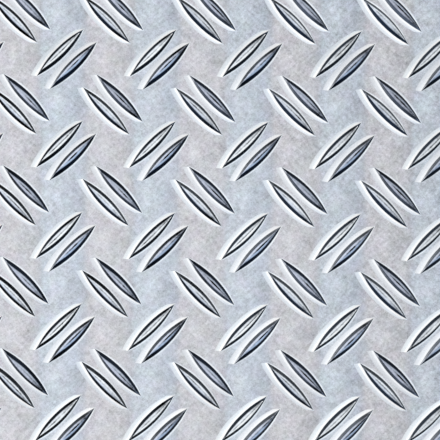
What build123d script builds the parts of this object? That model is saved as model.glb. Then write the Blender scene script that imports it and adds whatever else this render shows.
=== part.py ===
from build123d import *
import math
import os

os.makedirs("parts", exist_ok=True)

# Square panel cut from a rolled aluminium tread sheet, lying on its smooth side.
sheet_length = 200.0
sheet_width = 200.0
plate_thickness = 2.5
corner_radius = 0.8
edge_break = 0.3

# Layout of the tread: groups of two side-by-side bars, leaning right and leaning left in turn.
pitch_x = 40.0
pitch_y = 39.4
first_group_x = 14.5
first_group_y = -9.9
bar_spacing = 8.0
bar_slip = 0.1
lean = 45.5

# One raised bar: a long lens in plan with steep flanks and a slightly arched crown.
bar_length = 27.8
bar_width = 4.3
bar_rise = 1.5
flank_width = 1.05
crown_fall = 0.3

# The low ramp at the foot of every bar, always on the side towards minus X.
ramp_reach = 3.2
ramp_rise = 0.45

# Each side of the lens is an arc, so each flank is part of a wide upright cone.
half_length = bar_length / 2
half_width = bar_width / 2
lens_radius = (half_length**2 + half_width**2) / (2 * half_width)
side_offset = lens_radius - half_width
left_flank_rise = bar_rise - ramp_rise
left_flank_angle = math.degrees(math.atan(flank_width / left_flank_rise))
right_flank_angle = math.degrees(math.atan(flank_width / bar_rise))
crown_radius = (half_length**2 + crown_fall**2) / (2 * crown_fall)
ramp_slope_length = math.hypot(ramp_reach, ramp_rise)

# Planes of a bar: its plan at the foot and at the top of the ramp, and the upright one through its length.
foot_plan = Plane.XY.rotated((0, 0, lean))
ramp_top_plan = foot_plan.offset(ramp_rise)
ramp_edge_plan = Plane(origin=(-ramp_reach, 0, 0), x_dir=foot_plan.x_dir, z_dir=foot_plan.z_dir)
upright_plane = Plane(origin=(0, 0, 0), x_dir=foot_plan.x_dir, z_dir=foot_plan.y_dir)
tip = Vector(half_length, 0).rotate(Axis.Z, lean)

with BuildPart() as right_leaning_bar:
    # Ramp: the plan of the left side slid along X while it rises.
    with BuildSketch(ramp_edge_plan):
        with Locations((0, -side_offset)):
            Circle(lens_radius)
    extrude(amount=ramp_slope_length, dir=(ramp_reach, 0, ramp_rise))
    # Left flank: a cone that narrows upwards from the top of the ramp.
    with BuildSketch(ramp_top_plan):
        with Locations((0, -side_offset)):
            Circle(lens_radius)
    extrude(amount=left_flank_rise, taper=left_flank_angle)
    # Right flank: a cone that narrows upwards from the plate, and cuts off ramp and bar alike.
    with BuildSketch(foot_plan):
        with Locations((0, side_offset)):
            Circle(lens_radius)
    extrude(amount=bar_rise, taper=right_flank_angle, mode=Mode.INTERSECT)
    # Crown: an arch along the bar, highest in the middle.
    with BuildSketch(upright_plane):
        with Locations((0, crown_radius - bar_rise)):
            Circle(crown_radius)
    extrude(amount=bar_length, both=True, mode=Mode.INTERSECT)
    # The ramp ends square to Y, level with the tips of the lens.
    Box(4 * bar_length, 2 * tip.Y, 4 * bar_rise, mode=Mode.INTERSECT)

with BuildPart() as left_leaning_bar:
    mirror(right_leaning_bar.part, about=Plane.XZ)

# The two bars of a group stand side by side, each half the spacing from its middle.
side_step = Vector(bar_slip / 2, -bar_spacing / 2).rotate(Axis.Z, lean)
bar_reach = tip.X + ramp_reach


def bar_places(start_x, start_y, step_x, step_y):
    """Places of all bars of one lean that stand on the sheet or run over its edges."""
    columns = math.ceil((sheet_length / 2 + bar_length + abs(start_x)) / pitch_x)
    rows = math.ceil((sheet_width / 2 + bar_length + abs(start_y)) / pitch_y)
    places = []
    for column in range(-columns, columns + 1):
        for row in range(-rows, rows + 1):
            for side in (1, -1):
                x = start_x + column * pitch_x + side * step_x
                y = start_y + row * pitch_y + side * step_y
                if abs(x) < sheet_length / 2 + bar_reach and abs(y) < sheet_width / 2 + tip.Y:
                    places.append((x, y, plate_thickness))
    return places


right_places = bar_places(first_group_x, first_group_y, side_step.X, side_step.Y)
left_places = bar_places(
    first_group_x + pitch_x / 2, first_group_y + pitch_y / 2, side_step.X, -side_step.Y
)

# The panel as it is cut out: corners and lower edges broken.
with BuildPart() as panel:
    Box(
        sheet_length,
        sheet_width,
        plate_thickness + 2 * bar_rise,
        align=(Align.CENTER, Align.CENTER, Align.MIN),
    )
    fillet(panel.edges().filter_by(Axis.Z), radius=corner_radius)
    chamfer(panel.faces().sort_by(Axis.Z)[0].edges(), length=edge_break)

with BuildPart() as tread_plate:
    # The rolled sheet, wide enough to carry every bar whole.
    Box(
        sheet_length + 4 * bar_length,
        sheet_width + 4 * bar_length,
        plate_thickness,
        align=(Align.CENTER, Align.CENTER, Align.MIN),
    )
    with Locations(*right_places):
        add(right_leaning_bar.part)
    with Locations(*left_places):
        add(left_leaning_bar.part)
    # Cut to size straight through the bars.
    add(panel.part, mode=Mode.INTERSECT)

tread_plate.part.label = "tread_plate"
export_step(tread_plate.part, "parts/tread_plate.step")
print("bars", len(right_places) + len(left_places), "solids", len(tread_plate.part.solids()))
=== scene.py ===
# %% [markdown]
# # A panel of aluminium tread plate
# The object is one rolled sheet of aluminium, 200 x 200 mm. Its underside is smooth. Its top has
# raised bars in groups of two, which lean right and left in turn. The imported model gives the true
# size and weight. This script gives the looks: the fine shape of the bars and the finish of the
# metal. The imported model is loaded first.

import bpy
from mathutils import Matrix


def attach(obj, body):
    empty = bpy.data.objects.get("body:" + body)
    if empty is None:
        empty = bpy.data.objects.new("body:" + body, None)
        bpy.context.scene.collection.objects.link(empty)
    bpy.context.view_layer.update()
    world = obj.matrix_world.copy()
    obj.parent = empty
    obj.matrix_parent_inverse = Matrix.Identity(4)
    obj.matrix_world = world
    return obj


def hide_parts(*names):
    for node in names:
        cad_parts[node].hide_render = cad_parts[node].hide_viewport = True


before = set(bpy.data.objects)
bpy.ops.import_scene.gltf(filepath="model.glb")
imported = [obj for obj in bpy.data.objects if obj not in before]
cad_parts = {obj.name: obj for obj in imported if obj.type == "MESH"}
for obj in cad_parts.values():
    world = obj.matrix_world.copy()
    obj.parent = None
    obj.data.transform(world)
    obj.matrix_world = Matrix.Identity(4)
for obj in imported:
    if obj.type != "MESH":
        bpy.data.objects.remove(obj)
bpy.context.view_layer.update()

# %% Modules for the rest of the lesson
import math

import bmesh
import bpy
from mathutils import Matrix, Vector

# %% [markdown]
# ## Sizes
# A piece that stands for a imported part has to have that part's sizes, so they are written down
# once, in millimetres. The mesh is made in millimetres too and made metres at the very end,
# because 2.5 is easier to read than 0.0025. Groups repeat every 40.0 mm across and 39.4 mm up,
# and the groups that lean left stand half a repeat further on in both directions.

# %% Sizes of the sheet and its pattern
MM = 0.001
SHEET = 200.0
HALF_SHEET = SHEET / 2
THICKNESS = 2.5
CORNER_RADIUS = 0.8
EDGE_BREAK = 0.3

PITCH = Vector((40.0, 39.4))
FIRST_GROUP = Vector((14.5, -9.9))
BAR_SPACING = 8.0
BAR_SLIP = 0.1
LEAN = math.radians(45.5)
print("repeats over the sheet:", round(SHEET / PITCH.x, 2), "by", round(SHEET / PITCH.y, 2))

# %% Sizes of one bar
BAR_LENGTH = 27.8
BAR_WIDTH = 4.3
BAR_RISE = 1.5
CROWN_FALL = 0.3
RAMP_REACH = 3.2
RAMP_RISE = 0.45

HALF_LENGTH = BAR_LENGTH / 2
HALF_WIDTH = BAR_WIDTH / 2
LENS_RADIUS = (HALF_LENGTH**2 + HALF_WIDTH**2) / (2 * HALF_WIDTH)
LENS_ANGLE = 2 * math.asin(HALF_LENGTH / LENS_RADIUS)
print("each side of a bar is an arc of radius", round(LENS_RADIUS, 1), "mm")

# %% [markdown]
# ## The shape of a bar
# Seen from above, a bar is a lens: two long arcs that meet in sharp tips. Its flanks are steep and
# its crown is a narrower lens. A low ramp runs up to it from the left, and on its right the roll
# leaves a fine groove with a lip.
#
# A cylinder could be squashed into this shape, but arcs are what the real roll is engraved with.
# So one vertex is spun into an arc, and every further line of the bar is that arc extruded and
# then scaled or moved. A mirror gives the other half. Ten steps to the arc are enough, because
# the bar is repeated more than a hundred times.
#
# Each face also gets UV coordinates: U runs along the bar, and V runs over it from the ramp's
# foot (0) to the lip's edge (1). The metal later takes its colours from V.

# %% Lines that run along the bar, by their V
ARC_STEPS = 10
V_RAMP_FOOT = 0.0
V_LEFT_FOOT = 0.2
V_CROWN_EDGE = 0.4
V_RIDGE = 0.5
V_RIGHT_FOOT = 1 - V_LEFT_FOOT
V_LIP = 1.0


def extrude_line(bm, edges, v_old, v_new):
    """Extrude a line of edges onto itself. Returns the new line's vertices and edges."""
    uv = bm.loops.layers.uv["bar"]
    made = bmesh.ops.extrude_edge_only(bm, edges=edges)["geom"]
    verts = {item for item in made if isinstance(item, bmesh.types.BMVert)}
    for face in [item for item in made if isinstance(item, bmesh.types.BMFace)]:
        for loop in face.loops:
            loop[uv].uv.y = v_new if loop.vert in verts else v_old
    return list(verts), [edge for edge in bm.edges if set(edge.verts) <= verts]


# %% Half a bar: an arc, a flank and half of the crown
CROWN_WIDTH_SHARE = 0.5
CROWN_EDGE_FALL = 0.06


def half_bar(bm, crown_length):
    """The upper half of a bar along X, up to its ridge. crown_length is a share of the bar's."""
    bm.loops.layers.uv.new("bar")
    tip = bmesh.ops.create_vert(bm, co=(-HALF_LENGTH, 0, 0))["vert"]
    centre = (0, HALF_WIDTH - LENS_RADIUS, 0)
    bmesh.ops.spin(
        bm, geom=tip, cent=centre, axis=(0, 0, 1), angle=-LENS_ANGLE, steps=ARC_STEPS
    )

    verts, edges = extrude_line(bm, bm.edges[:], V_LEFT_FOOT, V_CROWN_EDGE)
    bmesh.ops.scale(bm, vec=(crown_length, CROWN_WIDTH_SHARE, 1), verts=verts)
    bmesh.ops.translate(bm, vec=(0, 0, BAR_RISE - CROWN_EDGE_FALL), verts=verts)
    ridge, _ = extrude_line(bm, edges, V_CROWN_EDGE, V_RIDGE)
    bmesh.ops.scale(bm, vec=(1, 0, 1), verts=ridge)
    bmesh.ops.translate(bm, vec=(0, 0, CROWN_EDGE_FALL), verts=ridge)


# %% [markdown]
# ## The crown
# Worn rolls don't press a bar quite evenly. The crown is turned by a little less than a degree
# against its foot, so its left flank widens along the bar as its right flank narrows. It is also
# bent a little and lies half a millimetre towards the right-hand end.
#
# The two bars of a group aren't alike either. The first has a longer crown. The crown of the second
# rolls over to the right, and its right half tapers towards the left-hand end. One function shapes
# both, by moving the vertices that stand above the foot.

# %% Bend the crown and crease the bar
SHAPES = {
    "first": {"length": 0.81, "roll": 0.0, "drop": 0.0, "taper": 0.3, "right_swell": 1.04},
    "second": {"length": 0.77, "roll": 0.12, "drop": 0.08, "taper": 0.85, "right_swell": 1.015},
}
CROWN_TURN = math.radians(0.85)
CROWN_BEND = 0.2
CROWN_SHIFT = 0.45
SAME_PLACE = 0.001
LONG_EDGE = 1.0


def crease_lines(bm):
    """Leave the lines along the bar sharp, except the ridge."""
    for edge in bm.edges:
        one, other = (vert.co for vert in edge.verts)
        on_ridge = abs(one.y) + abs(other.y) < SAME_PLACE
        along_bar = abs(one.x - other.x) > LONG_EDGE
        edge.smooth = on_ridge or not along_bar


def bend_crown(bm, shape):
    """Arch, turn, bend and shift all that stands above the foot of a bar along X."""
    for vert in bm.verts:
        if vert.co.z > 0:
            along = (vert.co.x / HALF_LENGTH) ** 2
            vert.co.z -= CROWN_FALL * along + shape["drop"] * max(0.0, -vert.co.y)
            if vert.co.y < 0 and vert.co.x < 0:
                vert.co.y *= 1 - shape["taper"] * along / shape["length"] ** 2
            vert.co.y += shape["roll"] * (1 - along) + CROWN_BEND * along - CROWN_TURN * vert.co.x
            vert.co.x += CROWN_SHIFT


# %% [markdown]
# ## The feet
# The left foot is lifted to the top of the ramp, and the right foot is sunk into the groove. The
# left foot also swells a little beyond its arc, most of all near the tips and in its left half.
# Both tips are raised a little, because the roll doesn't fill them to a knife edge.

# %% Shape the feet
LEFT_FOOT_SWELL = 1.05
LEFT_FOOT_END_SWELL = 0.08
LEFT_FOOT_BULGE = 0.04
TIP_RISE = {"left": 0.1, "right": 0.25}
GROOVE_DEPTH = 0.08


def shape_feet(bm, shape):
    """Swell and lift the feet. Returns the edges of the left and right foot, and both tips."""
    foot = [edge for edge in bm.edges if edge.is_boundary]
    left = [edge for edge in foot if edge.verts[0].co.y + edge.verts[1].co.y > 0]
    right = [edge for edge in foot if edge not in left]
    left_verts = {vert for edge in left for vert in edge.verts}
    right_verts = {vert for edge in right for vert in edge.verts}
    tips = left_verts & right_verts
    for vert in left_verts:
        along = vert.co.x / HALF_LENGTH
        vert.co.y *= LEFT_FOOT_SWELL + LEFT_FOOT_END_SWELL * along**2
        if along < 0:
            vert.co.y *= 1 - 4 * LEFT_FOOT_BULGE * along * (1 + along)
    bmesh.ops.scale(bm, vec=(1, shape["right_swell"], 1), verts=list(right_verts))
    bmesh.ops.translate(bm, vec=(0, 0, RAMP_RISE), verts=list(left_verts - tips))
    bmesh.ops.translate(bm, vec=(0, 0, -GROOVE_DEPTH), verts=list(right_verts - tips))
    for tip in tips:
        tip.co.z += TIP_RISE["left"] if tip.co.x < 0 else TIP_RISE["right"]
    return left, right, tips


# %% [markdown]
# ## Lip, ramp and ends
# Both feet are extruded once more, down to the plate: the right one outwards into the lip, and,
# once the bar is turned to its lean, the left one towards minus X into the ramp. A small triangle
# closes each end between tip, lip and ramp.
#
# The left-hand tip is drawn out half a millimetre and blunt. It moves last, by itself, so that
# the ramp below it stays straight. V at that tip is set apart from its two feet, or else the tip
# would take the ramp's painted highlight.

# %% A whole bar
LIP_WIDTH = 0.85
LOW_TIP_SHIFT = Vector((-0.5, 0.12, 0))
LOW_TIP_V = {"left": 0.24, "right": 0.75}


def height_on_page(vert):
    """Sorts vertices from the bottom of the page to its top."""
    return vert.co.y


def close_end(bm, corners):
    """A flat triangle between tip, lip and ramp at one end of a bar."""
    uv = bm.loops.layers.uv["bar"]
    end = bmesh.ops.contextual_create(bm, geom=corners)["faces"][0]
    for edge in end.edges:
        edge.smooth = False
    for loop in end.loops:
        loop[uv].uv.y = V_RAMP_FOOT


def whole_bar(shape):
    """A right-leaning bar with an open base, in the middle of its own space."""
    bm = bmesh.new()
    half_bar(bm, shape["length"])
    geom = bm.verts[:] + bm.edges[:] + bm.faces[:]
    bmesh.ops.mirror(bm, geom=geom, axis="Y", merge_dist=0, mirror_v=True)
    bmesh.ops.remove_doubles(bm, verts=bm.verts[:], dist=SAME_PLACE)
    crease_lines(bm)
    bend_crown(bm, shape)
    left, right, tips = shape_feet(bm, shape)

    uv = bm.loops.layers.uv["bar"]
    low_tip = min(tips, key=lambda vert: vert.co.x)
    for loop in low_tip.link_loops:
        side = "left" if loop[uv].uv.y < V_RIDGE else "right"
        loop[uv].uv.y = LOW_TIP_V[side]

    lip, _ = extrude_line(bm, right, V_RIGHT_FOOT, V_LIP)
    lip_tips = [vert for vert in lip if abs(vert.co.y) < SAME_PLACE]
    wider = (1 + LIP_WIDTH / HALF_LENGTH, 1 + LIP_WIDTH / HALF_WIDTH, 0)
    bmesh.ops.scale(bm, vec=wider, verts=lip)

    turn = Matrix.Rotation(LEAN, 3, "Z")
    bmesh.ops.rotate(bm, cent=(0, 0, 0), matrix=turn, verts=bm.verts[:])
    ramp, _ = extrude_line(bm, left, V_LEFT_FOOT, V_RAMP_FOOT)
    bmesh.ops.scale(bm, vec=(1, 1, 0), verts=ramp)
    bmesh.ops.translate(bm, vec=(-RAMP_REACH, 0, 0), verts=ramp)
    for tip, lip_tip in zip(sorted(tips, key=height_on_page), sorted(lip_tips, key=height_on_page)):
        ramp_tip = min(ramp, key=lambda vert: abs(vert.co.y - tip.co.y))
        close_end(bm, [tip, lip_tip, ramp_tip])
    bmesh.ops.translate(bm, vec=turn @ LOW_TIP_SHIFT, verts=[low_tip])

    for face in bm.faces:
        face.smooth = True
        for loop in face.loops:
            loop[uv].uv.x = (turn.transposed() @ loop.vert.co).x / BAR_LENGTH + 0.5
    return bm


# %% [markdown]
# ## Four kinds of bar
# A bar that leans left is the mirror image of one that leans right, top to bottom, because the
# ramp stays on the left side of both. With two bars to a group that makes four kinds. Each is kept
# as a small mesh, to be put down many times. Each kind also gets its own material number, because
# the light on the real plate catches each of them differently, and each material paints that light
# and shade into its colour. Number 0, which every new face starts with, is the flat metal.

# %% Make the four kinds
CUT_EDGE, UNDERSIDE, FIRST_BAR = 1, 2, 3
KINDS = ["right_first", "right_second", "left_first", "left_second"]


def bar_mesh(kind):
    """The mesh of one kind of bar."""
    leaning, place = kind.split("_")
    bm = whole_bar(SHAPES[place])
    if leaning == "left":
        bmesh.ops.scale(bm, vec=(1, -1, 1), verts=bm.verts[:])
        bmesh.ops.reverse_faces(bm, faces=bm.faces[:])
    for face in bm.faces:
        face.material_index = FIRST_BAR + KINDS.index(kind)
    mesh = bpy.data.meshes.new(kind)
    bm.to_mesh(mesh)
    bm.free()
    return mesh


bar_meshes = {kind: bar_mesh(kind) for kind in KINDS}
print({kind: (len(mesh.vertices), len(mesh.polygons)) for kind, mesh in bar_meshes.items()})

# %% [markdown]
# ## Put the bars down
# The sheet is rolled wider than it is sold, and the panel is cut out of it straight through the
# bars. So bars go down on a blank that is wider than the panel, wherever at least a part of a bar
# will be on the panel.

# %% Places of the bars
STEP = Matrix.Rotation(LEAN, 2) @ Vector((BAR_SLIP / 2, -BAR_SPACING / 2))
MARGIN_X = HALF_LENGTH * math.cos(LEAN) + RAMP_REACH
MARGIN_Y = HALF_LENGTH * math.sin(LEAN)
REPEATS_TO_TRY = range(-4, 5)


def place_bars(bm, leaning, start, step):
    """Join the bars of one lean into bm and return how many they are."""
    count = 0
    for column in REPEATS_TO_TRY:
        for row in REPEATS_TO_TRY:
            for place, side in (("first", -1), ("second", 1)):
                spot = start + Vector((column * PITCH.x, row * PITCH.y)) + side * step
                if abs(spot.x) > HALF_SHEET + MARGIN_X or abs(spot.y) > HALF_SHEET + MARGIN_Y:
                    continue
                older = len(bm.verts)
                bm.from_mesh(bar_meshes[leaning + "_" + place])
                bm.verts.ensure_lookup_table()
                bmesh.ops.translate(bm, vec=(*spot, THICKNESS), verts=bm.verts[older:])
                count += 1
    return count


sheet = bmesh.new()
right_count = place_bars(sheet, "right", FIRST_GROUP, STEP)
left_count = place_bars(sheet, "left", FIRST_GROUP + PITCH / 2, Vector((STEP.x, -STEP.y)))
print("bars:", right_count, "lean right and", left_count, "lean left")

# %% [markdown]
# ## The flat metal between the bars
# The plate's top is one flat face with a hole for each bar. Bars could also be sunk into a closed
# slab, but then their feet would only touch it, and one rolled sheet has one skin. So a square is
# drawn round all the bars, and the space between the square and the bars' outlines is filled.

# %% Fill round the bars
outlines = [edge for edge in sheet.edges if edge.is_boundary]
for edge in outlines:
    edge.smooth = False
turned = Matrix.Translation((0, 0, THICKNESS)) @ Matrix.Rotation(math.radians(45), 4, "Z")
bmesh.ops.create_circle(sheet, segments=4, radius=SHEET, matrix=turned)
border = [edge for edge in sheet.edges if edge.is_wire]
flats = bmesh.ops.triangle_fill(sheet, edges=outlines + border, use_beauty=True, normal=(0, 0, 1))
print("outline edges:", len(outlines), "faces of the flat top:", len(flats["geom"]))

# %% [markdown]
# ## Cut the panel out
# A plane cuts through everything and clears away what lies outside it. Four cuts make the square,
# and three more at each corner take off its point. What is left is a skin whose rim follows the
# bars that were cut.

# %% Cut to size
CUT_SNAP = 0.0005
CORNER_CUTS = (22.5, 45, 67.5)


def cut(bm, point, outward):
    """Remove all that lies beyond a point in a direction."""
    geom = bm.verts[:] + bm.edges[:] + bm.faces[:]
    bmesh.ops.bisect_plane(
        bm, geom=geom, dist=CUT_SNAP, plane_co=point, plane_no=outward, clear_outer=True
    )


square_turns = [Matrix.Rotation(quarter * math.pi / 2, 3, "Z") for quarter in range(4)]
for square_turn in square_turns:
    cut(sheet, square_turn @ Vector((HALF_SHEET, 0, 0)), square_turn @ Vector((1, 0, 0)))
inset = HALF_SHEET - CORNER_RADIUS
for square_turn in square_turns:
    for degrees in CORNER_CUTS:
        direction = Matrix.Rotation(math.radians(degrees), 3, "Z") @ Vector((1, 0, 0))
        point = Vector((inset, inset, 0)) + CORNER_RADIUS * direction
        cut(sheet, square_turn @ point, square_turn @ direction)
print("faces after the cuts:", len(sheet.faces))

# %% [markdown]
# Extruded straight down, the rim becomes the cut edge of the panel. It stops just above the floor,
# and a second, slanted step is the broken lower edge. The last rim is filled with the underside.

# %% The rim, the broken lower edge and the underside
def extrude_down(bm, edges, height):
    """Extrude a closed rim and bring it to one height. Returns its vertices and edges."""
    made = bmesh.ops.extrude_edge_only(bm, edges=edges)["geom"]
    verts = {item for item in made if isinstance(item, bmesh.types.BMVert)}
    for vert in verts:
        vert.co.z = height
    for edge in edges:
        edge.smooth = False
    for face in [item for item in made if isinstance(item, bmesh.types.BMFace)]:
        face.material_index = CUT_EDGE
    return list(verts), [edge for edge in bm.edges if set(edge.verts) <= verts]


rim = [edge for edge in sheet.edges if edge.is_boundary]
_, rim = extrude_down(sheet, rim, EDGE_BREAK)
lowest, rim = extrude_down(sheet, rim, 0.0)
smaller = 1 - EDGE_BREAK / HALF_SHEET
bmesh.ops.scale(sheet, vec=(smaller, smaller, 1), verts=lowest)
for edge in rim:
    edge.smooth = False
underside = bmesh.ops.triangle_fill(sheet, edges=rim, use_beauty=True, normal=(0, 0, -1))
for face in [item for item in underside["geom"] if isinstance(item, bmesh.types.BMFace)]:
    face.material_index = UNDERSIDE
print("edges round the rim:", len(rim))

# %% [markdown]
# A closed skin has exactly two faces on every edge, and its volume can be measured. Both are
# checked here, because a hole would show up in other views and in the exported model.

# %% Check the skin and make the piece
bmesh.ops.recalc_face_normals(sheet, faces=sheet.faces[:])
open_edges = [edge for edge in sheet.edges if len(edge.link_faces) != 2]
print("open edges:", len(open_edges), "volume:", round(sheet.calc_volume()), "mm3")
bmesh.ops.scale(sheet, vec=(MM, MM, MM), verts=sheet.verts[:])
tread_mesh = bpy.data.meshes.new("tread_sheet")
sheet.to_mesh(tread_mesh)
sheet.free()
tread_sheet = bpy.data.objects.new("tread_sheet", tread_mesh)
bpy.context.collection.objects.link(tread_sheet)
for mesh in bar_meshes.values():
    bpy.data.meshes.remove(mesh)
tread_mesh.calc_loop_triangles()
print("triangles:", len(tread_mesh.loop_triangles))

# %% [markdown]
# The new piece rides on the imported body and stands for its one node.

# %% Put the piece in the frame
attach(tread_sheet, "root")
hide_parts("tread_plate")

# %% [markdown]
# ## Metal
# All the finishes are bare aluminium, so each is a Principled shader with metallic at 1. What
# differs is how bright and how rough the metal is. A few helpers are used by every finish: they
# add a node, do sums with node outputs, and give a noise whose grain is named in millimetres.

# %% Helpers for nodes
def add_node(tree, kind, settings=None, **inputs):
    """Add a node, set its fields, and fill or link its inputs by name, or by number as n0, n1."""
    made = tree.nodes.new(kind)
    for key, value in (settings or {}).items():
        setattr(made, key, value)
    for key, value in inputs.items():
        by_number = key[0] == "n" and key[1:].isdigit()
        socket = made.inputs[int(key[1:]) if by_number else key]
        if isinstance(value, bpy.types.NodeSocket):
            tree.links.new(value, socket)
        else:
            socket.default_value = value
    return made


def sum_node(tree, kind, operation, values):
    """A Math or Vector Math node with its inputs in order. Returns its output."""
    inputs = {"n%d" % number: value for number, value in enumerate(values)}
    return add_node(tree, kind, {"operation": operation}, **inputs).outputs[0]


def math_node(tree, operation, *values):
    """A Math node. Returns its output."""
    return sum_node(tree, "ShaderNodeMath", operation, values)


def vector_node(tree, operation, *values):
    """A Vector Math node. Returns its output."""
    return sum_node(tree, "ShaderNodeVectorMath", operation, values)


def product(tree, *values):
    """Multiply node outputs."""
    total = values[0]
    for value in values[1:]:
        total = math_node(tree, "MULTIPLY", total, value)
    return total


# %% Helpers for places, noises and colours
def place_on(tree):
    """The place on the piece, in its own coordinates."""
    return add_node(tree, "ShaderNodeTexCoord").outputs["Object"]


def axis_of(tree, vector, axis):
    """One coordinate of a vector."""
    return add_node(tree, "ShaderNodeSeparateXYZ", Vector=vector).outputs[axis]


def noise_node(tree, vector, scale, detail):
    """A Noise Texture node."""
    return add_node(tree, "ShaderNodeTexNoise", Vector=vector, Scale=scale, Detail=detail)


def noise(tree, size, detail=2.0, stretch=(1, 1, 1)):
    """A noise whose grain is size millimetres, drawn out by a factor along each axis."""
    scale = [1 / (size * MM * factor) for factor in stretch]
    mapped = add_node(tree, "ShaderNodeMapping", Vector=place_on(tree), Scale=scale).outputs[0]
    return noise_node(tree, mapped, 1.0, detail).outputs["Fac"]


def linear(red, green, blue):
    """An sRGB colour in 0 to 255 as the linear values that a shader takes."""
    parts = [part / 255 for part in (red, green, blue)]
    return [p / 12.92 if p <= 0.04045 else ((p + 0.055) / 1.055) ** 2.4 for p in parts]


def colour_line(tree, position, stops):
    """A ColorRamp over stops of (position, sRGB colour, roughness). Returns both its outputs."""
    made = add_node(tree, "ShaderNodeValToRGB", n0=position)
    elements = made.color_ramp.elements
    while len(elements) < len(stops):
        elements.new(1.0)
    for element, (where, colour, roughness) in zip(elements, stops):
        element.position = where
        element.color = (*linear(*colour), roughness)
    return made.outputs["Color"], made.outputs["Alpha"]


def new_metal(name):
    """A material with a metallic Principled shader. Returns it, its nodes and the shader."""
    material = bpy.data.materials.new(name)
    material.use_nodes = True
    shader = material.node_tree.nodes["Principled BSDF"]
    shader.inputs["Metallic"].default_value = 1.0
    return material, material.node_tree, shader


# %% [markdown]
# Rolled aluminium has a fine grain all over. It shows three times: as lighter and darker specks, as
# small changes of roughness, and as a bump far too small to measure. One function adds all three
# to any finish, so that they agree. The grain is a sum of noises of several sizes, each with its
# own strength, because real metal is speckled and cloudy at once.

# %% The grain of rolled metal
FINE_BUMP = 0.004
TORN_BUMP = 0.02
ROUGHER_WITH_GRAIN = 0.3


def grain_of(tree, layers):
    """Add up noises around zero. Each layer is (size in millimetres, strength)."""
    total = 0.0
    for size, strength in layers:
        centred = math_node(tree, "MULTIPLY_ADD", noise(tree, size), strength, -strength / 2)
        total = math_node(tree, "ADD", centred, total)
    return total


def finish_metal(tree, shader, colour, roughness, grain, bump):
    """Brighten a colour by the grain, roughen it, and raise it by up to bump millimetres."""
    gain = math_node(tree, "ADD", grain, 1.0)
    scale = {"operation": "SCALE"}
    scaled = add_node(tree, "ShaderNodeVectorMath", scale, n0=colour, Scale=gain).outputs[0]
    capped = vector_node(tree, "MINIMUM", scaled, (1, 1, 1))
    rougher = math_node(tree, "MULTIPLY_ADD", grain, ROUGHER_WITH_GRAIN, roughness)
    raised = add_node(tree, "ShaderNodeBump", Strength=1.0, Distance=bump * MM, Height=grain)
    tree.links.new(capped, shader.inputs["Base Color"])
    tree.links.new(rougher, shader.inputs["Roughness"])
    tree.links.new(raised.outputs[0], shader.inputs["Normal"])


# %% [markdown]
# ## The flat metal
# The flats are a satin grey. Two bands to each repeat run along the sheet: a cooler grey in line
# with the groups that lean right and a warmer one in line with the others, with a dull seam where
# they meet. The bands are painted reflections of two lights of different tint, and they are a
# ColorRamp over the distance across the sheet.
#
# A brighter patch of painted light lies to the right of every group, and the flats are painted
# lighter and darker in step with the pattern, as the light and shade of shallow swells. These are
# waves along X and Y multiplied, which peak where both do, so they need no picture. Noise pushes
# everything to and fro, so that nothing is quite regular.

# %% Bands, waves and smears of the flats
SMEAR_STRETCH = 4


def repeats(tree, axis, start, pitch, push):
    """How many repeats of the pattern lie between a start and each point, along one axis."""
    pushed = math_node(tree, "ADD", axis_of(tree, place_on(tree), axis), push)
    return math_node(tree, "MULTIPLY_ADD", pushed, 1 / (pitch * MM), -start / pitch)


def waves(tree, ahead, share, push):
    """Waves along X and Y multiplied. ahead is the way from a group's middle to their peak."""
    total = None
    for axis, start, pitch in (
        ("X", FIRST_GROUP.x + ahead, PITCH.x * share),
        ("Y", FIRST_GROUP.y, PITCH.y * share),
    ):
        turns = math_node(tree, "MULTIPLY", repeats(tree, axis, start, pitch, push), 2 * math.pi)
        wave = math_node(tree, "COSINE", turns)
        total = wave if total is None else product(tree, total, wave)
    return total


def tint(tree, size, strength):
    """A colour near white that wanders from place to place."""
    wander = noise_node(tree, place_on(tree), 1 / (size * MM), 2.0).outputs["Color"]
    low = 1 - strength / 2
    return vector_node(tree, "MULTIPLY_ADD", wander, (strength,) * 3, (low,) * 3)


def smear(tree, width, degrees):
    """A noise around zero, drawn out to SMEAR_STRETCH times its width in one direction."""
    about_z = {"rotation_type": "Z_AXIS"}
    angle = math.radians(-degrees)
    turned = add_node(tree, "ShaderNodeVectorRotate", about_z, Vector=place_on(tree), Angle=angle)
    drawn = vector_node(tree, "MULTIPLY", turned.outputs[0], (1 / SMEAR_STRETCH, 1, 1))
    smeared = noise_node(tree, drawn, 1 / (width * MM), 1.0).outputs["Fac"]
    return math_node(tree, "SUBTRACT", smeared, 0.5)


# %% Finish of the flats
# Bands of painted reflection across a repeat: (place, sRGB colour, roughness).
FLAT_BANDS = [
    (0.0, (195, 203, 213), 0.38),
    (0.12, (189, 197, 208), 0.38),
    (0.19, (187, 192, 201), 0.38),
    (0.24, (201, 202, 208), 0.4),
    (0.4, (206, 207, 212), 0.42),
    (0.64, (198, 200, 205), 0.4),
    (0.7, (190, 193, 200), 0.38),
    (0.75, (196, 204, 213), 0.4),
    (0.88, (202, 210, 219), 0.42),
    (1.0, (195, 203, 213), 0.38),
]
FLAT_GRAIN = [(0.15, 0.4), (0.6, 0.65), (1.4, 0.6), (3.0, 0.45), (12.0, 0.12)]
PUSH_GRAIN, PUSH = 9.0, 5.0
TINT_GRAIN, TINT = 5.0, 0.11
SMEAR_WIDTH, SMEARS = 1.2, 0.35
SMEAR_ANGLES = (45.0, -45.0)
# A patch of painted light: millimetres ahead of a group, strength, sharpness of its peak.
PATCH_AHEAD, PATCH_LIGHT, PATCH_SHARPNESS = 15.6, 0.12, 3.0
# Painted light and shade of each swell: millimetres ahead of a group, share of the pitch, strength.
SWELL_LIGHT_AND_SHADE = [(-2.4, 1.0, 0.09), (-5.0, 0.5, 0.065)]
FLAT_LEVEL = -0.018


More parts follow.
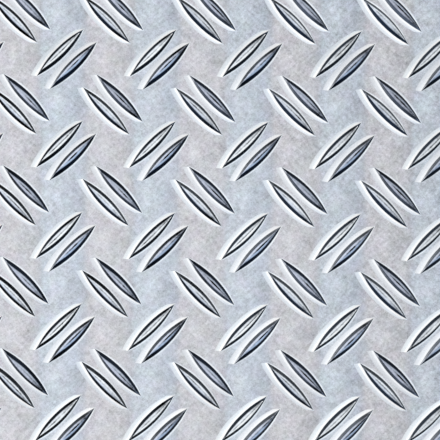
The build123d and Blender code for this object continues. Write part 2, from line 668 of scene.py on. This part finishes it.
def flat_metal():
    """Satin rolled aluminium with soft bands, and patches and swells in step with the groups."""
    material, tree, shader = new_metal("rolled_flat")
    push = math_node(tree, "MULTIPLY_ADD", noise(tree, PUSH_GRAIN, 3.0), PUSH * MM, -PUSH / 2 * MM)
    # Bands of painted reflection, pushed to and fro by noise.
    band = math_node(tree, "FRACT", repeats(tree, "X", FIRST_GROUP.x, PITCH.x, push))
    colour, roughness = colour_line(tree, band, FLAT_BANDS)
    tinted = vector_node(tree, "MULTIPLY", colour, tint(tree, TINT_GRAIN, TINT))

    # Patches of painted light, then the painted light and shade of the swells.
    patch = math_node(tree, "MULTIPLY_ADD", waves(tree, PATCH_AHEAD, 1.0, push), 0.5, 0.5)
    peaked = math_node(tree, "POWER", patch, PATCH_SHARPNESS)
    painted_patches = math_node(tree, "MULTIPLY_ADD", peaked, PATCH_LIGHT, FLAT_LEVEL)
    smears = math_node(tree, "ADD", *(smear(tree, SMEAR_WIDTH, turn) for turn in SMEAR_ANGLES))
    grain = math_node(tree, "MULTIPLY_ADD", smears, SMEARS, grain_of(tree, FLAT_GRAIN))
    grain = math_node(tree, "ADD", grain, painted_patches)
    for ahead, share, strength in SWELL_LIGHT_AND_SHADE:
        swell_shading = waves(tree, ahead, share, push)
        grain = math_node(tree, "MULTIPLY_ADD", swell_shading, strength, grain)
    finish_metal(tree, shader, tinted, roughness, grain, FINE_BUMP)
    return material


rolled_flat = flat_metal()
print(rolled_flat.name, "has", len(rolled_flat.node_tree.nodes), "nodes")

# %% [markdown]
# ## The metal of the bars
# Over a bar, the colour changes from line to line, and these tones are painted light and shade.
# The ramp carries a painted highlight and is the brightest metal on the sheet. The flanks are where
# the metal was drawn up steeply, and they carry painted shade and are dark. The crown is bright
# again with painted highlights, and the lip is a thin painted highlight. V runs over the bar, so
# one ColorRamp over V holds all of this, with eight tones for each kind of bar and the V of the
# lines between them.

# %% Tones from the ramp's foot to the lip's edge
def section(ramp, rim, flank_foot, left_flank, left_crown, right_crown, right_flank, lip, lines):
    """Stops of a bar's ColorRamp. lines are where left flank, crown, right flank and lip start."""
    foot, start, end, lip_start = lines
    return [
        (0.0, (210, 216, 223), 0.38),
        (0.03, [tone - 8 for tone in ramp], 0.34),
        (0.11, ramp, 0.3),
        (0.14, rim, 0.28),
        (foot - 0.01, rim, 0.28),
        (foot + 0.005, flank_foot, 0.42),
        (0.25, left_flank, 0.42),
        (start - 0.025, left_flank, 0.42),
        (start + 0.03, left_crown, 0.3),
        (0.48, left_crown, 0.3),
        (0.52, right_crown, 0.3),
        (end - 0.03, right_crown, 0.3),
        (end + 0.025, right_flank, 0.42),
        (lip_start, right_flank, 0.42),
        (lip_start + 0.033, lip, 0.3),
        (0.88, lip, 0.3),
        (0.95, (208, 214, 222), 0.34),
        (1.0, (200, 206, 214), 0.38),
    ]


# Painted highlights on ramp, rim, crown and lip, and painted shade on the flanks, for each kind.
RIM_HIGHLIGHT = (250, 252, 253)
DIM_RIM_HIGHLIGHT = (240, 243, 246)
COOL_LIP_HIGHLIGHT = (222, 233, 242)
WARM_LIP_HIGHLIGHT = (229, 233, 237)
SECTIONS = {
    "right_first": section(
        (229, 237, 243), RIM_HIGHLIGHT, (72, 79, 88), (46, 53, 62),
        (224, 231, 238), (242, 249, 253), (24, 31, 41), COOL_LIP_HIGHLIGHT, (0.198, 0.393, 0.607, 0.772),
    ),
    "right_second": section(
        (230, 235, 241), DIM_RIM_HIGHLIGHT, (112, 117, 124), (105, 111, 119),
        (201, 210, 227), (170, 190, 217), (17, 27, 44), COOL_LIP_HIGHLIGHT, (0.194, 0.395, 0.602, 0.776),
    ),
    "left_first": section(
        (222, 228, 234), RIM_HIGHLIGHT, (54, 65, 80), (31, 42, 59),
        (206, 216, 230), (226, 233, 240), (80, 85, 90), WARM_LIP_HIGHLIGHT, (0.198, 0.413, 0.626, 0.78),
    ),
    "left_second": section(
        (220, 224, 229), DIM_RIM_HIGHLIGHT, (86, 95, 110), (83, 93, 109),
        (182, 189, 206), (178, 188, 203), (33, 40, 52), WARM_LIP_HIGHLIGHT, (0.194, 0.4, 0.617, 0.78),
    ),
}
print("tones over a bar:", len(SECTIONS["right_first"]), "stops for each kind")

# %% [markdown]
# ## Habits of the four kinds
# Along a bar, the painted light and shade change too, and each kind has its own habits. The crown
# has a grey streak of painted shade along its middle. Its right half is shaded at the left-hand
# end, and all of it is painted darker towards the right-hand end. The right flank is painted paler
# before the right-hand tip, and the left flank is painted paler near the left-hand one. Both tips
# carry painted highlights. The ramp's painted highlight brightens towards its right-hand end, and
# the lip's painted light and shade change towards both of its ends.
#
# Each of these is a fade along U times a fade over V. A habit is written as the share by which it
# makes the metal brighter (above zero) or darker (below), and 5.0 is right for a tip whose metal
# is almost black. Only the painted highlights on the left flank and on the rim near the left-hand
# tip are shares of a plain grey that is blended in.

# %% Strengths of the habits
# Strengths of painted light (above zero) and painted shade (below zero) for each kind of bar.
HABITS = {
    "right_first": {
        "ridge_shade": -0.52, "ridge_shade_span": (0.2, 0.33, 0.65, 0.8),
        "low_flank_light": 0.06, "low_rim_highlight": 0.45, "shade": -0.35, "shade_end": 0.24,
        "flank_light": 0.3, "far_shade": (-0.65, -0.2), "far_shade_end": 0.3,
        "far_edge_shade": -0.35, "far_tip_highlight": 5.0, "lip": (0.0, -0.18), "light_slant": 0.6,
    },
    "right_second": {
        "ridge_shade": -1.2, "ridge_shade_span": (0.3, 0.53, 0.6, 0.75),
        "low_flank_light": 0.6, "low_rim_highlight": 0.62, "shade": -0.55, "shade_end": 0.34,
        "flank_light": 0.15, "far_shade": (-0.6, -0.62), "far_shade_end": 0.7,
        "far_edge_shade": -0.25, "far_tip_highlight": 1.4, "lip": (-0.14, 0.04), "light_slant": 0.2,
    },
    "left_first": {
        "ridge_shade": -0.5, "ridge_shade_span": (0.2, 0.33, 0.65, 0.8),
        "low_flank_light": 0.05, "low_rim_highlight": 0.45, "shade": -0.35, "shade_end": 0.24,
        "flank_light": 0.25, "far_shade": (-0.65, -0.2), "far_shade_end": 0.3,
        "far_edge_shade": -0.12, "far_tip_highlight": 0.8, "lip": (0.0, -0.24), "light_slant": 0.6,
    },
    "left_second": {
        "ridge_shade": -0.95, "ridge_shade_span": (0.3, 0.53, 0.6, 0.75),
        "low_flank_light": 0.4, "low_rim_highlight": 0.75, "shade": -0.3, "shade_end": 0.24,
        "flank_light": 0.0, "far_shade": (-0.65, -0.5), "far_shade_end": 1.0,
        "far_edge_shade": -0.2, "far_tip_highlight": 1.4, "lip": (-0.1, 0.06), "light_slant": 0.1,
    },
}

# %% Regions over the bar, as fades over V: (start, end, low, high)
REGIONS = {
    "ramp": [(0.16, 0.19, 1.0, 0.0)],
    "left_flank": [(0.19, 0.21, 0.0, 1.0), (0.28, 0.36, 1.0, 0.0)],
    "left_half": [(0.2, 0.24, 0.0, 1.0), (0.47, 0.53, 1.0, 0.0)],
    "right_crown": [(0.47, 0.53, 0.0, 1.0), (0.6, 0.64, 1.0, 0.0)],
    "right_half": [(0.46, 0.56, 0.0, 1.0), (0.76, 0.86, 1.0, 0.2)],
    "crown_edge": [(0.54, 0.58, 0.0, 1.0), (0.72, 0.77, 1.0, 0.0)],
    "right_flank": [(0.64, 0.68, 0.0, 1.0), (0.76, 0.8, 1.0, 0.0)],
    "whole_top": [(0.2, 0.24, 0.0, 1.0), (0.76, 0.8, 1.0, 0.0)],
    "both_flanks": [(0.19, 0.21, 0.0, 1.0), (0.76, 0.8, 1.0, 0.0)],
    "off_ramp": [(0.19, 0.22, 0.0, 1.0), (0.78, 0.82, 1.0, 0.5)],
    "lip": [(0.75, 0.78, 0.0, 1.0)],
    "outer_lip": [(0.8, 0.84, 0.0, 1.0)],
}


def marks(habit):
    """Painted light and shade that stand in one place on a bar, as (region, fades along the bar).
    """
    far_shade_last = (0.82, 0.9, 1.0, habit["far_shade_end"])
    # All rows are painted: shade on the right half, the crown and its right edge, light on the
    # right flank, highlights on both tips and the ramp, and light and shade on the lip.
    return [
        ("right_half", [(0.12, habit["shade_end"], habit["shade"], 0.0)]),
        ("right_flank", [(0.6, 0.72, 0.0, habit["flank_light"]), (0.8, 0.88, 1.0, 0.0)]),
        ("left_half", [(0.6, 0.8, 0.0, habit["far_shade"][0]), far_shade_last]),
        ("right_crown", [(0.6, 0.8, 0.0, habit["far_shade"][1]), far_shade_last]),
        ("crown_edge", [(0.78, 0.88, 0.0, habit["far_edge_shade"])]),
        ("whole_top", [(0.08, 0.1, 0.4, 0.0)]),
        ("whole_top", [(0.88, 0.95, 0.0, habit["far_tip_highlight"])]),
        ("ramp", [(0.45, 0.95, -0.03, 0.2)]),
        ("lip", [(0.1, 0.3, habit["lip"][0], 0.0)]),
        ("lip", [(0.3, 0.8, 0.0, habit["lip"][1])]),
    ]


print("marks in one place:", len(marks(HABITS["right_first"])), "on each bar")

# %% Fades along and over the bar
def fade(tree, value, start, end, low, high):
    """Low before a start, high after an end, and a straight line between them."""
    made = add_node(tree, "ShaderNodeMapRange", n0=value, n1=start, n2=end, n3=low, n4=high)
    return made.outputs[0]


def fades(tree, value, steps):
    """Several fades of one value, multiplied."""
    return product(tree, *(fade(tree, value, *step) for step in steps))


def away_from(tree, value, middle):
    """How far a value lies from a middle."""
    return math_node(tree, "ABSOLUTE", math_node(tree, "SUBTRACT", value, middle))


# %% [markdown]
# ## Marks that aren't fades alone
# The streak of painted shade comes and goes with a noise. The flanks have fine lines that were
# drawn up and over the bar, and their painted shade is uneven: from bar to bar, and a little from
# the left side of the sheet to its right side, where painted light makes them paler. The lip's
# painted highlight is brighter towards both ends, and small spots make each bar unlike its
# neighbours.

# %% Streak, flanks, lip and spots
# The streak is painted shade along the ridge of the crown.
STREAK_MIDDLE = {"right": 0.502, "left": 0.515}
STREAK_HALF_WIDTH = (0.01, 0.045)
STREAK_BREAK_SIZE = 8.0
STREAK_BREAKS = (0.35, 0.65, 0.4, 1.6)
OFF_CROWN = (0.1, 0.14, 0.0, 1.0)
LINES_DRAWN = (90, 4, 0)
LINE_STRENGTH = 0.9
# The lip's painted highlights grow towards both of its ends.
LIP_END_HIGHLIGHTS = (0.1, 0.4, 0.0, 0.18)
FLANKS_UNLIKE = [(16.0, 2.2)]
BARS_UNLIKE = [(1.2, 0.6), (20.0, 0.7)]


def ridge_shade_streak(tree, along, across, habit, middle):
    """The grey streak of painted shade along the crown, broken up by a noise."""
    start, full, fading, end = habit["ridge_shade_span"]
    return product(
        tree,
        fade(tree, away_from(tree, across, middle), *STREAK_HALF_WIDTH, habit["ridge_shade"], 0.0),
        fades(tree, along, [(start, full, 0.0, 1.0), (fading, end, 1.0, 0.2)]),
        fade(tree, noise(tree, STREAK_BREAK_SIZE), *STREAK_BREAKS),
    )


def drawn_flanks(tree, over, across, light_slant):
    """Fine lines up the flanks, whose painted shade changes over the sheet."""
    flank = product(
        tree,
        fade(tree, away_from(tree, across, V_RIDGE), *OFF_CROWN),
        fades(tree, across, REGIONS["both_flanks"]),
    )
    spread = vector_node(tree, "MULTIPLY", over, LINES_DRAWN)
    lines = math_node(tree, "SUBTRACT", noise_node(tree, spread, 1.0, 2.0).outputs["Fac"], 0.5)
    # Painted light: the flanks grow paler from the left side of the sheet to its right.
    x = axis_of(tree, place_on(tree), "X")
    leaning = math_node(tree, "MULTIPLY", x, light_slant / (HALF_SHEET * MM))
    uneven = math_node(tree, "ADD", leaning, grain_of(tree, FLANKS_UNLIKE))
    return product(tree, flank, math_node(tree, "MULTIPLY_ADD", lines, LINE_STRENGTH, uneven))


def lip_end_highlights(tree, along, across):
    """The lip's painted highlights towards its ends."""
    ends = fade(tree, away_from(tree, along, 0.5), *LIP_END_HIGHLIGHTS)
    return product(tree, fades(tree, across, REGIONS["outer_lip"]), ends)


def spots(tree, across):
    """Small spots and clouds on crown, flanks and lip."""
    return product(tree, fades(tree, across, REGIONS["off_ramp"]), grain_of(tree, BARS_UNLIKE))


# %% [markdown]
# ## Colour of a bar
# The cool and warm bands of painted reflection on the flats run on over the bars, a little weaker.
# Near the left-hand tip the left flank turns to a plain grey, a painted highlight. Multiplying
# can't do that, because the flank's painted shade is a dark blue and would only become a bright
# blue, so a Mix node blends the grey in.

# %% Bands and pale left-hand tip
# Painted reflection: the cool and warm bands of the flats, a little weaker over the bars.
WARM_TINT = (0.035, 0.0, -0.035)
WARM_BAND = {"right": (0.0, 1.0), "left": (-1.0, 0.0)}
WARM_BAND_EDGES = ((0.1, 0.25), (0.6, 0.75))
LOW_TIP_HIGHLIGHT = (190, 193, 198)
# Where along U the painted highlight of the rim comes and goes, and where that of the flank goes.
LOW_RIM = (0.045, 0.065, 0.1, 0.13)
LOW_FLANK = (0.03, 0.5)


def with_bands(tree, colour, leaning):
    """A bar's colour, warmer in the warm bands of painted reflection and cooler in the others."""
    band = math_node(tree, "FRACT", repeats(tree, "X", FIRST_GROUP.x, PITCH.x, 0.0))
    cool, warm = WARM_BAND[leaning]
    near_edge, far_edge = WARM_BAND_EDGES
    warmth = math_node(
        tree,
        "MINIMUM",
        fade(tree, band, *near_edge, cool, warm),
        fade(tree, band, *far_edge, warm, cool),
    )
    tinted = vector_node(tree, "MULTIPLY_ADD", warmth, WARM_TINT, (1, 1, 1))
    return vector_node(tree, "MULTIPLY", colour, tinted)


def with_low_tip_highlight(tree, colour, along, across, habit):
    """A bar's colour, with a painted highlight of grey on the left flank near the left-hand tip."""
    start, full, fading, end = LOW_RIM
    rim = fades(tree, along, [(start, full, 0.0, habit["low_rim_highlight"]), (fading, end, 1.0, 0.0)])
    flank = fade(tree, along, *LOW_FLANK, habit["low_flank_light"], 0.0)
    share = product(
        tree,
        math_node(tree, "MAXIMUM", rim, flank),
        fades(tree, across, REGIONS["left_flank"]),
    )
    grey = (*linear(*LOW_TIP_HIGHLIGHT), 1.0)
    colours = {"data_type": "RGBA"}
    return add_node(tree, "ShaderNodeMix", colours, n0=share, n6=colour, n7=grey).outputs[2]


# %% Finish of the bars
BAR_GRAIN = [(0.15, 0.2), (0.6, 0.3), (3.0, 0.06)]


def bar_metal(kind):
    """The metal of one kind of bar, with its painted light and shade."""
    leaning = kind.split("_")[0]
    habit = HABITS[kind]
    material, tree, shader = new_metal("bar_" + kind)
    over = add_node(tree, "ShaderNodeUVMap", {"uv_map": "bar"}).outputs[0]
    along, across = axis_of(tree, over, "X"), axis_of(tree, over, "Y")
    colour, roughness = colour_line(tree, across, SECTIONS[kind])
    colour = with_bands(tree, colour, leaning)
    colour = with_low_tip_highlight(tree, colour, along, across, habit)

    parts = [
        ridge_shade_streak(tree, along, across, habit, STREAK_MIDDLE[leaning]),
        drawn_flanks(tree, over, across, habit["light_slant"]),
        lip_end_highlights(tree, along, across),
        spots(tree, across),
    ]
    for region, steps in marks(habit):
        mark = product(tree, fades(tree, along, steps), fades(tree, across, REGIONS[region]))
        parts.append(mark)
    grain = grain_of(tree, BAR_GRAIN)
    for part in parts:
        grain = math_node(tree, "ADD", grain, part)
    finish_metal(tree, shader, colour, roughness, grain, FINE_BUMP)
    return material


bar_metals = [bar_metal(kind) for kind in KINDS]
print("each bar metal has", len(bar_metals[0].node_tree.nodes), "nodes")

# %% [markdown]
# ## Cut edge and underside
# A guillotine leaves two zones on a cut edge: a bright one where the blade slid, and below it a
# rough one where the metal tore. The underside is plain mill finish, with fine lines that run the
# way the sheet was rolled.

# %% Finish of the cut edge and the underside
EDGE_TOP = 4.5
EDGE_WANDER_SIZE, EDGE_WANDER = 1.5, 0.6
EDGE_ZONES = [
    (0.0, (160, 163, 168), 0.5),
    (0.4, (172, 175, 181), 0.5),
    (0.46, (205, 209, 215), 0.3),
    (1.0, (214, 218, 224), 0.28),
]
EDGE_STREAK_SIZE, EDGE_STREAKS = 0.15, 0.5
UPRIGHT = (1, 1, 12)
CLOUD_SIZE = 30.0
UNDERSIDE_CLOUDS = [(0.3, (196, 201, 208), 0.32), (0.7, (206, 210, 216), 0.38)]
ROLLING_LINE_SIZE, ROLLING_LINES = 0.2, 0.35
ALONG_Y = (1, 150, 1)


def edge_metal():
    """Sheared edge: smooth above, torn below, with upright streaks."""
    material, tree, shader = new_metal("sheared_edge")
    z = axis_of(tree, place_on(tree), "Z")
    uneven = noise(tree, EDGE_WANDER_SIZE)
    wander = math_node(tree, "MULTIPLY_ADD", uneven, EDGE_WANDER * MM, z)
    level = math_node(tree, "MULTIPLY", wander, 1 / (EDGE_TOP * MM))
    colour, roughness = colour_line(tree, level, EDGE_ZONES)
    streaks = noise(tree, EDGE_STREAK_SIZE, 2.0, UPRIGHT)
    grain = math_node(tree, "MULTIPLY_ADD", streaks, EDGE_STREAKS, -EDGE_STREAKS / 2)
    finish_metal(tree, shader, colour, roughness, grain, TORN_BUMP)
    return material


def underside_metal():
    """Mill finish with rolling lines along Y."""
    material, tree, shader = new_metal("mill_underside")
    colour, roughness = colour_line(tree, noise(tree, CLOUD_SIZE), UNDERSIDE_CLOUDS)
    lines = noise(tree, ROLLING_LINE_SIZE, 3.0, ALONG_Y)
    grain = math_node(tree, "MULTIPLY_ADD", lines, ROLLING_LINES, -ROLLING_LINES / 2)
    finish_metal(tree, shader, colour, roughness, grain, FINE_BUMP)
    return material


# %% Give the piece its finishes
for material in [rolled_flat, edge_metal(), underside_metal(), *bar_metals]:
    tread_mesh.materials.append(material)
print("finishes:", [material.name for material in tread_mesh.materials])

# %% [markdown]
# ## Floor
# The sheet lies on a plain pale floor. It is only a backdrop. It is a hair below zero so that it
# never shows through the underside.

# %% Floor
FLOOR_RADIUS = 3.0
FLOOR_DROP = 0.05
FLOOR_GREY = 0.72
FLOOR_ROUGHNESS = 0.8

floor_bm = bmesh.new()
bmesh.ops.create_circle(floor_bm, cap_ends=True, segments=64, radius=FLOOR_RADIUS)
bmesh.ops.translate(floor_bm, vec=(0, 0, -FLOOR_DROP * MM), verts=floor_bm.verts[:])
floor_mesh = bpy.data.meshes.new("floor")
floor_bm.to_mesh(floor_mesh)
floor_bm.free()
floor = bpy.data.objects.new("floor", floor_mesh)
bpy.context.collection.objects.link(floor)
floor_material = bpy.data.materials.new("pale_floor")
floor_material.use_nodes = True
floor_shader = floor_material.node_tree.nodes["Principled BSDF"]
floor_shader.inputs["Base Color"].default_value = (FLOOR_GREY, FLOOR_GREY, FLOOR_GREY, 1)
floor_shader.inputs["Roughness"].default_value = FLOOR_ROUGHNESS
floor_mesh.materials.append(floor_material)
print("floor:", FLOOR_RADIUS, "m round the sheet")

# %% [markdown]
# ## Light
# Metal shows what is around it. Here that is a pale room with one big softbox overhead, a little
# towards the lower left, so slopes that face it look brighter than the flats and steep slopes look
# darker. The room alone is a little darker than full white, and the softbox lifts its part of the
# room a little above that, so flat metal renders about as bright as its colour is written.

# %% The room
ROOM_COLOUR = (0.83, 0.83, 0.84, 1)

world = bpy.data.worlds.new("pale_room")
bpy.context.scene.world = world
world.use_nodes = True
room = world.node_tree
pale = add_node(room, "ShaderNodeBackground", Color=ROOM_COLOUR, Strength=1.0).outputs[0]
room.links.new(pale, room.nodes["World Output"].inputs["Surface"])

# %% The softbox
SOFTBOX_SIZE = 3.0
SOFTBOX_GLOW = 0.34
SOFTBOX_PLACE = (-0.9, -0.25, 2.8)

lamp_data = bpy.data.lights.new("softbox", "AREA")
lamp_data.shape = "DISK"
lamp_data.size = SOFTBOX_SIZE
softbox_area = math.pi * (SOFTBOX_SIZE / 2) ** 2
lamp_data.energy = SOFTBOX_GLOW * math.pi * softbox_area
lamp_data.color = (1.0, 0.995, 0.985)
lamp = bpy.data.objects.new("softbox", lamp_data)
lamp.location = SOFTBOX_PLACE
lamp.rotation_euler = (-lamp.location).to_track_quat("-Z", "Y").to_euler()
lamp.visible_camera = False
bpy.context.collection.objects.link(lamp)
print("softbox:", round(lamp_data.energy, 2), "W over", round(softbox_area, 1), "square metres")

# %% [markdown]
# ## Camera
# The camera looks straight down from 446 mm above the bars, turned by a third of a degree. Its
# 85 mm lens then takes in 190 mm, a little less than the sheet, as in the photograph.

# %% Camera
CAMERA_PLACE = Vector((0.69, -0.16, 450.4))
CAMERA_TURN = math.radians(0.35)

camera_data = bpy.data.cameras.new("camera")
camera_data.lens = 85.0
camera_data.sensor_width = 36.0
camera = bpy.data.objects.new("camera", camera_data)
camera.location = CAMERA_PLACE * MM
camera.rotation_euler = (0.0, 0.0, CAMERA_TURN)
bpy.context.collection.objects.link(camera)
bpy.context.scene.camera = camera
bpy.context.scene.view_settings.view_transform = "Standard"
width = (CAMERA_PLACE.z - THICKNESS) * camera_data.sensor_width / camera_data.lens
print("the camera takes in", round(width, 1), "mm of the flats")
